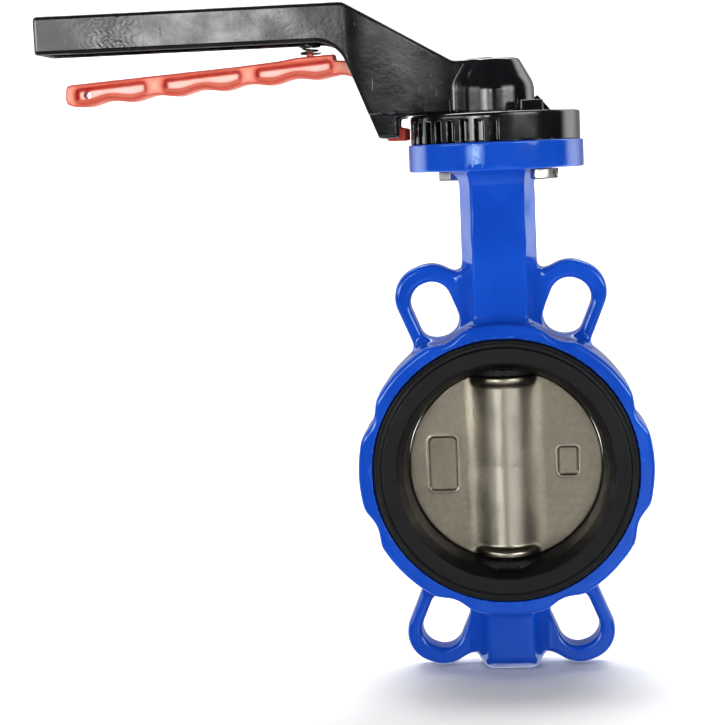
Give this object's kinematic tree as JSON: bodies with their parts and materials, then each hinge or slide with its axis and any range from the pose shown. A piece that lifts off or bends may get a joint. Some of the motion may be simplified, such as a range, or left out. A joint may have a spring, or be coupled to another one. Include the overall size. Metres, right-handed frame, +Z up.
{
  "type": "butterfly valve",
  "caption": "Wafer butterfly valve with locating loops, rubber-lined bore, stainless disc on a split stem and a latching quarter-turn hand lever.",
  "frame": {"origin": "centre of the pipe bore, where the bore axis and the stem axis cross", "axes": "+Z up along the stem to the lever, +Y along the pipe bore away from the front face, -X along the shut lever"},
  "size_m": [0.3184, 0.092, 0.3586],
  "materials": {
    "blue_enamel": "glossy thick epoxy coating over ductile iron",
    "black_enamel": "semi-gloss black coating over cast iron",
    "black_rubber": "matte moulded EPDM",
    "cast_stainless": "blasted cast stainless steel, warm grey",
    "turned_stainless": "turned stainless steel",
    "zinc_steel": "bright zinc-plated steel",
    "bronze": "plain bearing bronze",
    "red_enamel": "semi-gloss red coating over a casting"
  },
  "bodies": {
    "valve": {"valve_body": "blue_enamel", "seat_liner": "black_rubber", "upper_stem_bush": "bronze", "middle_stem_bush": "bronze", "lower_stem_bush": "bronze", "upper_o_ring": "black_rubber", "middle_o_ring": "black_rubber", "lower_o_ring": "black_rubber", "notch_plate": "black_enamel", "flange_bolt_1": "zinc_steel", "flange_bolt_2": "zinc_steel"},
    "lever": {"lever_handle": "black_enamel", "upper_stem": "turned_stainless", "lower_stem": "turned_stainless", "valve_disc": "cast_stainless", "stem_retaining_ring": "turned_stainless", "hub_set_screw": "zinc_steel", "trigger_pivot_pin": "zinc_steel", "trigger_spring": "turned_stainless"},
    "latch": {"trigger": "red_enamel"}
  },
  "joints": [
    {"name": "lever_turn", "type": "hinge", "parent": "valve", "child": "lever", "pos_m": [0, 0, 0], "axis": [0, 0, 1], "range_deg": [0, 90]},
    {"name": "trigger_squeeze", "type": "hinge", "parent": "lever", "child": "latch", "pos_m": [-0.062, 0, 0.213], "axis": [0, 1, 0], "range_deg": [0, 6], "stiffness_Nm_per_rad": 1.5, "springref_deg": -11.46, "deforming": ["trigger_spring"]}
  ]
}
